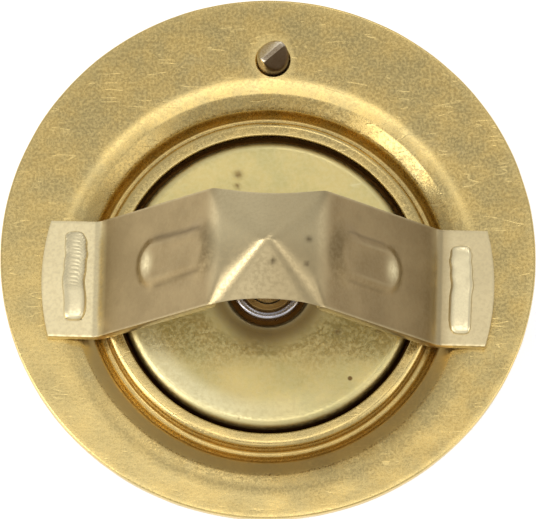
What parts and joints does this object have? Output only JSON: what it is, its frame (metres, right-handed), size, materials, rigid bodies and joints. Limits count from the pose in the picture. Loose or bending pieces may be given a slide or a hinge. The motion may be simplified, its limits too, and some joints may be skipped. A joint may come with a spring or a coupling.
{
  "type": "engine thermostat",
  "caption": "Wax-element engine coolant valve: brass flange with a sprung poppet plate on its seat, a peaked bridge strap, a stirrup frame and a loose vent pin.",
  "frame": {"origin": "centre of the flange's round rim, on the flange's outlet-side face", "axes": "+Z out of the outlet side, along the rim's axis; the valve's own axis is parallel and 2.6 mm toward -Y; the vent pin is on the +Y side; the straps run along X"},
  "size_m": [0.054, 0.054, 0.0527],
  "materials": {
    "brass_pressed": "satin pressed sheet",
    "brass_strap": "satin strip",
    "brass_plate": "pale satin pressed sheet",
    "brass_turned": "turned",
    "brass_cup": "drawn",
    "brass_pin": "darkened, polished",
    "steel_ring": "polished",
    "steel_pin": "ground",
    "spring_steel": "drawn wire",
    "rubber": "matt",
    "wax": "waxy",
    "disc_plastic": "smooth"
  },
  "bodies": {
    "root": {"flange": "brass_pressed", "bridge": "brass_strap", "lower_frame": "brass_strap", "piston": "steel_pin", "main_spring": "spring_steel"},
    "valve": {"valve_plate": "brass_plate", "retaining_ring": "steel_ring", "capsule_guide": "brass_turned", "capsule_cup": "brass_cup", "wax_charge": "wax", "diaphragm": "rubber", "rubber_plug": "rubber", "backup_disc": "disc_plastic"},
    "vent": {"vent_pin": "brass_pin"}
  },
  "joints": [
    {"name": "valve_lift", "type": "slide", "parent": "root", "child": "valve", "axis": [0, 0, -1], "range_m": [0, 0.008], "stiffness_N_per_m": 6500, "springref_m": -0.009, "deforming": ["main_spring"]},
    {"name": "vent_lift", "type": "slide", "parent": "root", "child": "vent", "axis": [0, 0, 1], "range_m": [0, 0.0015]}
  ]
}
